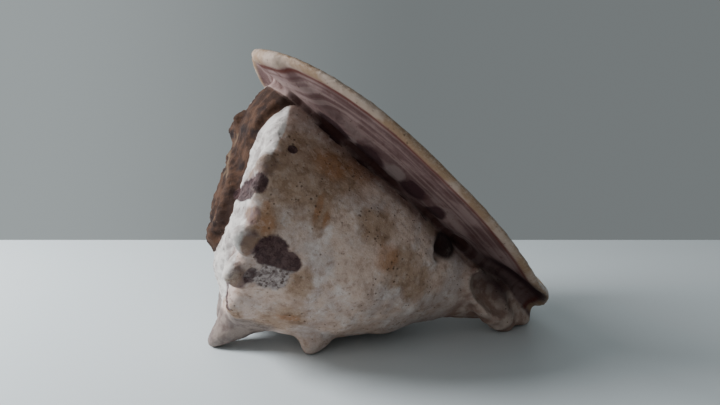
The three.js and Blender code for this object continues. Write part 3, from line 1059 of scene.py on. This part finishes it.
# Darker in the hollows: real dirt and painted shade together.
skin = mix(mask("hollow"), skin, colour(58, 34, 30), 0.9)
skin = mix(mask("inner"), skin, colour(190, 168, 148), 0.7)
skin = mix(mask("cusp"), skin, colour(132, 110, 94), 0.6)
worn = math_node(tree, "MULTIPLY", mask("edge"), ramp_node(tree, fine_noise, 0.4, 0.7))
skin = mix(worn, skin, colour(226, 214, 200), 0.45)
tree.links.new(skin, shader.inputs["Base Color"])
print("base colour linked")

# %% [markdown]
# ## Gloss and fine relief
# Weathered lime hardly shines, but the front of the shield is still polished. Pits smaller than
# the mesh can hold are left to a bump node, which is calmed where the shield is smooth.

# %% Roughness and fine relief
CHALK_ROUGH, CHALK_GLOSS = 0.8, 0.2
RELIEF_DEPTH = 0.0006

rough = math_node(tree, "MULTIPLY_ADD", mask("front"), -0.38, CHALK_ROUGH)
rough = math_node(tree, "MULTIPLY_ADD", mask("rim"), -0.22, rough)
rough = math_node(tree, "MULTIPLY_ADD", fine_noise, 0.12, rough, clamp=True)
tree.links.new(rough, shader.inputs["Roughness"])
gloss = math_node(tree, "MULTIPLY_ADD", mask("front"), 0.3, CHALK_GLOSS)
tree.links.new(gloss, shader.inputs["Specular IOR Level"])
relief = math_node(tree, "MULTIPLY_ADD", specks, -0.8, fine_noise)
relief = math_node(tree, "MULTIPLY_ADD", patch_pits, -1.2, relief)
blotch_spots = math_node(tree, "MULTIPLY", pale_spots, blotch_mask)
relief = math_node(tree, "MULTIPLY_ADD", blotch_spots, 0.8, relief)
calm = math_node(tree, "MULTIPLY_ADD", mask("front"), -0.85, 1.0)
relief = math_node(tree, "MULTIPLY", relief, calm)
bump = tree.nodes.new("ShaderNodeBump")
bump.inputs["Strength"].default_value = 0.7
bump.inputs["Distance"].default_value = RELIEF_DEPTH
tree.links.new(relief, bump.inputs["Height"])
tree.links.new(bump.outputs["Normal"], shader.inputs["Normal"])
mesh.materials.clear()
mesh.materials.append(finish)
print("finish:", finish.name, len(tree.nodes), "nodes")

# %% [markdown]
# ## Floor and light
# A pale table with its far edge close behind the shell, and dim grey-green air all round it. A
# box of walls would block the view from other sides, so the room is only a background that is
# brighter towards the window. One soft light stands at the left, as a window does, and a weak,
# wide one fills the near side.

# %% Table
TABLE_HALF, TABLE_AT = 3, (0, -2.8, 0)

table_paint = bpy.data.materials.new("pale_table")
table_paint.use_nodes = True
paint = table_paint.node_tree.nodes["Principled BSDF"]
paint.inputs["Base Color"].default_value = colour(214, 221, 224)
paint.inputs["Roughness"].default_value = 0.36

sheet = bmesh.new()
bmesh.ops.create_grid(sheet, x_segments=1, y_segments=1, size=TABLE_HALF)
bmesh.ops.translate(sheet, verts=sheet.verts, vec=TABLE_AT)
table_mesh = bpy.data.meshes.new("table")
sheet.to_mesh(table_mesh)
sheet.free()
table_mesh.materials.append(table_paint)
table = bpy.data.objects.new("table", table_mesh)
bpy.context.scene.collection.objects.link(table)
print("table's far edge at y =", round(TABLE_AT[1] + TABLE_HALF, 2), "m")

# %% Light
def soft_light(name, size, power, at, towards, tint):
    data = bpy.data.lights.new(name, "AREA")
    data.shape = "DISK"
    data.size = size
    data.energy = power
    data.color = tint
    lamp = bpy.data.objects.new(name, data)
    lamp.location = at
    lamp.rotation_euler = (Vector(towards) - Vector(at)).to_track_quat("-Z", "Y").to_euler()
    bpy.context.scene.collection.objects.link(lamp)


soft_light("window", 0.3, 7.9, (-0.56, 0.02, 0.38), (0, 0, 0.05), (0.95, 0.98, 1.0))
soft_light("room", 1.6, 2.3, (-0.4, -1.3, 1.2), (0, 0, 0.06), (1.0, 0.97, 0.94))
print("lights:", len(bpy.data.lights))

# %% Air of the room
AIR_COLOUR = (0.19, 0.21, 0.214, 1)
AIR_STRENGTH, WINDOW_SIDE_MORE = 0.92, 1.0

world = bpy.data.worlds.new("room_air")
world.use_nodes = True
air = world.node_tree
across = air.nodes.new("ShaderNodeSeparateXYZ")
air.links.new(air.nodes.new("ShaderNodeTexCoord").outputs["Generated"], across.inputs["Vector"])
window_side = ramp_node(air, across.outputs["X"], 0.1, -0.5)
strength = math_node(air, "MULTIPLY_ADD", window_side, WINDOW_SIDE_MORE, AIR_STRENGTH)
air.links.new(strength, air.nodes["Background"].inputs["Strength"])
air.nodes["Background"].inputs["Color"].default_value = AIR_COLOUR
bpy.context.scene.world = world
print("world:", world.name)
